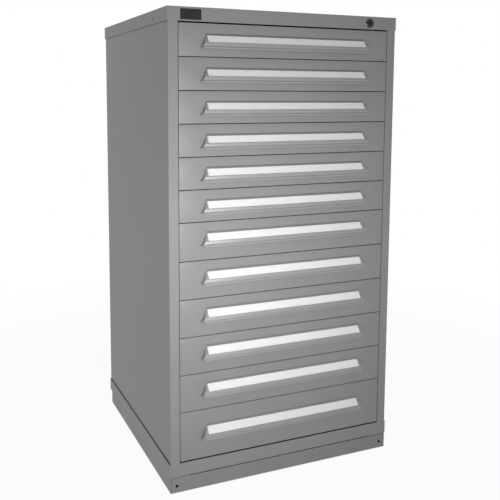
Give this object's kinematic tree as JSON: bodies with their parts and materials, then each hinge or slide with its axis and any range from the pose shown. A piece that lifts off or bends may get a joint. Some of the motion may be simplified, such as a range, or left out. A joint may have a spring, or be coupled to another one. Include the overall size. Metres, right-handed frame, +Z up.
{
  "type": "modular drawer cabinet",
  "caption": "Tall folded steel drawer cabinet with full-extension drawers of three heights, hood pulls with label strips and one key lock.",
  "frame": {"origin": "on the floor, under the middle of the cabinet with its hood pulls", "axes": "+Z up, +Y from the drawer fronts to the back, +X to the right as seen from the front; drawers open towards -Y"},
  "size_m": [0.768, 0.7448, 1.4314],
  "materials": {
    "painted_steel": "grey powder coat, satin",
    "painted_tray": "grey powder coat, satin",
    "plated_steel": "zinc plated",
    "label_strip": "white card under clear plastic",
    "black_lock": "black",
    "lock_plug_metal": "dark nickel",
    "black_screw": "black oxide"
  },
  "bodies": {
    "housing": {"left_side_panel": "painted_steel", "right_side_panel": "painted_steel", "top_cap": "painted_steel", "bottom_pan": "painted_steel", "back_panel": "painted_steel", "base_frame": "painted_steel", "base_cover": "painted_steel", "base_cover_screws": "black_screw", "slide_channels": "plated_steel", "lock_cylinder": "black_lock"},
    "drawer_01": {"drawer_01_front": "painted_steel", "drawer_01_label": "label_strip", "drawer_01_tray": "painted_tray"},
    "carriage_01": {"drawer_01_carriage": "plated_steel"},
    "drawer_02": {"drawer_02_front": "painted_steel", "drawer_02_label": "label_strip", "drawer_02_tray": "painted_tray"},
    "carriage_02": {"drawer_02_carriage": "plated_steel"},
    "drawer_03": {"drawer_03_front": "painted_steel", "drawer_03_label": "label_strip", "drawer_03_tray": "painted_tray"},
    "carriage_03": {"drawer_03_carriage": "plated_steel"},
    "drawer_04": {"drawer_04_front": "painted_steel", "drawer_04_label": "label_strip", "drawer_04_tray": "painted_tray"},
    "carriage_04": {"drawer_04_carriage": "plated_steel"},
    "drawer_05": {"drawer_05_front": "painted_steel", "drawer_05_label": "label_strip", "drawer_05_tray": "painted_tray"},
    "carriage_05": {"drawer_05_carriage": "plated_steel"},
    "drawer_06": {"drawer_06_front": "painted_steel", "drawer_06_label": "label_strip", "drawer_06_tray": "painted_tray"},
    "carriage_06": {"drawer_06_carriage": "plated_steel"},
    "drawer_07": {"drawer_07_front": "painted_steel", "drawer_07_label": "label_strip", "drawer_07_tray": "painted_tray"},
    "carriage_07": {"drawer_07_carriage": "plated_steel"},
    "drawer_08": {"drawer_08_front": "painted_steel", "drawer_08_label": "label_strip", "drawer_08_tray": "painted_tray"},
    "carriage_08": {"drawer_08_carriage": "plated_steel"},
    "drawer_09": {"drawer_09_front": "painted_steel", "drawer_09_label": "label_strip", "drawer_09_tray": "painted_tray"},
    "carriage_09": {"drawer_09_carriage": "plated_steel"},
    "drawer_10": {"drawer_10_front": "painted_steel", "drawer_10_label": "label_strip", "drawer_10_tray": "painted_tray"},
    "carriage_10": {"drawer_10_carriage": "plated_steel"},
    "drawer_11": {"drawer_11_front": "painted_steel", "drawer_11_label": "label_strip", "drawer_11_tray": "painted_tray"},
    "carriage_11": {"drawer_11_carriage": "plated_steel"},
    "drawer_12": {"drawer_12_front": "painted_steel", "drawer_12_label": "label_strip", "drawer_12_tray": "painted_tray"},
    "carriage_12": {"drawer_12_carriage": "plated_steel"},
    "lock_plug": {"lock_plug": "lock_plug_metal"},
    "lock_bar": {"lock_bar": "plated_steel"}
  },
  "joints": [
    {"name": "drawer_01_slide", "type": "slide", "parent": "housing", "child": "drawer_01", "axis": [0, -1, 0], "range_m": [0, 0.64]},
    {"name": "carriage_01_slide", "type": "slide", "parent": "housing", "child": "carriage_01", "axis": [0, -1, 0], "range_m": [0, 0.32]},
    {"name": "drawer_02_slide", "type": "slide", "parent": "housing", "child": "drawer_02", "axis": [0, -1, 0], "range_m": [0, 0.64]},
    {"name": "carriage_02_slide", "type": "slide", "parent": "housing", "child": "carriage_02", "axis": [0, -1, 0], "range_m": [0, 0.32]},
    {"name": "drawer_03_slide", "type": "slide", "parent": "housing", "child": "drawer_03", "axis": [0, -1, 0], "range_m": [0, 0.64]},
    {"name": "carriage_03_slide", "type": "slide", "parent": "housing", "child": "carriage_03", "axis": [0, -1, 0], "range_m": [0, 0.32]},
    {"name": "drawer_04_slide", "type": "slide", "parent": "housing", "child": "drawer_04", "axis": [0, -1, 0], "range_m": [0, 0.64]},
    {"name": "carriage_04_slide", "type": "slide", "parent": "housing", "child": "carriage_04", "axis": [0, -1, 0], "range_m": [0, 0.32]},
    {"name": "drawer_05_slide", "type": "slide", "parent": "housing", "child": "drawer_05", "axis": [0, -1, 0], "range_m": [0, 0.64]},
    {"name": "carriage_05_slide", "type": "slide", "parent": "housing", "child": "carriage_05", "axis": [0, -1, 0], "range_m": [0, 0.32]},
    {"name": "drawer_06_slide", "type": "slide", "parent": "housing", "child": "drawer_06", "axis": [0, -1, 0], "range_m": [0, 0.64]},
    {"name": "carriage_06_slide", "type": "slide", "parent": "housing", "child": "carriage_06", "axis": [0, -1, 0], "range_m": [0, 0.32]},
    {"name": "drawer_07_slide", "type": "slide", "parent": "housing", "child": "drawer_07", "axis": [0, -1, 0], "range_m": [0, 0.64]},
    {"name": "carriage_07_slide", "type": "slide", "parent": "housing", "child": "carriage_07", "axis": [0, -1, 0], "range_m": [0, 0.32]},
    {"name": "drawer_08_slide", "type": "slide", "parent": "housing", "child": "drawer_08", "axis": [0, -1, 0], "range_m": [0, 0.64]},
    {"name": "carriage_08_slide", "type": "slide", "parent": "housing", "child": "carriage_08", "axis": [0, -1, 0], "range_m": [0, 0.32]},
    {"name": "drawer_09_slide", "type": "slide", "parent": "housing", "child": "drawer_09", "axis": [0, -1, 0], "range_m": [0, 0.64]},
    {"name": "carriage_09_slide", "type": "slide", "parent": "housing", "child": "carriage_09", "axis": [0, -1, 0], "range_m": [0, 0.32]},
    {"name": "drawer_10_slide", "type": "slide", "parent": "housing", "child": "drawer_10", "axis": [0, -1, 0], "range_m": [0, 0.64]},
    {"name": "carriage_10_slide", "type": "slide", "parent": "housing", "child": "carriage_10", "axis": [0, -1, 0], "range_m": [0, 0.32]},
    {"name": "drawer_11_slide", "type": "slide", "parent": "housing", "child": "drawer_11", "axis": [0, -1, 0], "range_m": [0, 0.64]},
    {"name": "carriage_11_slide", "type": "slide", "parent": "housing", "child": "carriage_11", "axis": [0, -1, 0], "range_m": [0, 0.32]},
    {"name": "drawer_12_slide", "type": "slide", "parent": "housing", "child": "drawer_12", "axis": [0, -1, 0], "range_m": [0, 0.64]},
    {"name": "carriage_12_slide", "type": "slide", "parent": "housing", "child": "carriage_12", "axis": [0, -1, 0], "range_m": [0, 0.32]},
    {"name": "lock_turn", "type": "hinge", "parent": "housing", "child": "lock_plug", "pos_m": [0.285, -0.35151, 1.4107], "axis": [0, -1, 0], "range_deg": [0, 90]},
    {"name": "lock_bar_lift", "type": "slide", "parent": "housing", "child": "lock_bar", "axis": [0, 0, 1], "range_m": [0, 0.01202]}
  ],
  "couplings": [
    {"joint": "carriage_01_slide", "follows": "drawer_01_slide", "ratio": 0.5},
    {"joint": "carriage_02_slide", "follows": "drawer_02_slide", "ratio": 0.5},
    {"joint": "carriage_03_slide", "follows": "drawer_03_slide", "ratio": 0.5},
    {"joint": "carriage_04_slide", "follows": "drawer_04_slide", "ratio": 0.5},
    {"joint": "carriage_05_slide", "follows": "drawer_05_slide", "ratio": 0.5},
    {"joint": "carriage_06_slide", "follows": "drawer_06_slide", "ratio": 0.5},
    {"joint": "carriage_07_slide", "follows": "drawer_07_slide", "ratio": 0.5},
    {"joint": "carriage_08_slide", "follows": "drawer_08_slide", "ratio": 0.5},
    {"joint": "carriage_09_slide", "follows": "drawer_09_slide", "ratio": 0.5},
    {"joint": "carriage_10_slide", "follows": "drawer_10_slide", "ratio": 0.5},
    {"joint": "carriage_11_slide", "follows": "drawer_11_slide", "ratio": 0.5},
    {"joint": "carriage_12_slide", "follows": "drawer_12_slide", "ratio": 0.5},
    {"joint": "lock_turn", "follows": "lock_bar_lift", "rad_per_m": 130.67}
  ]
}
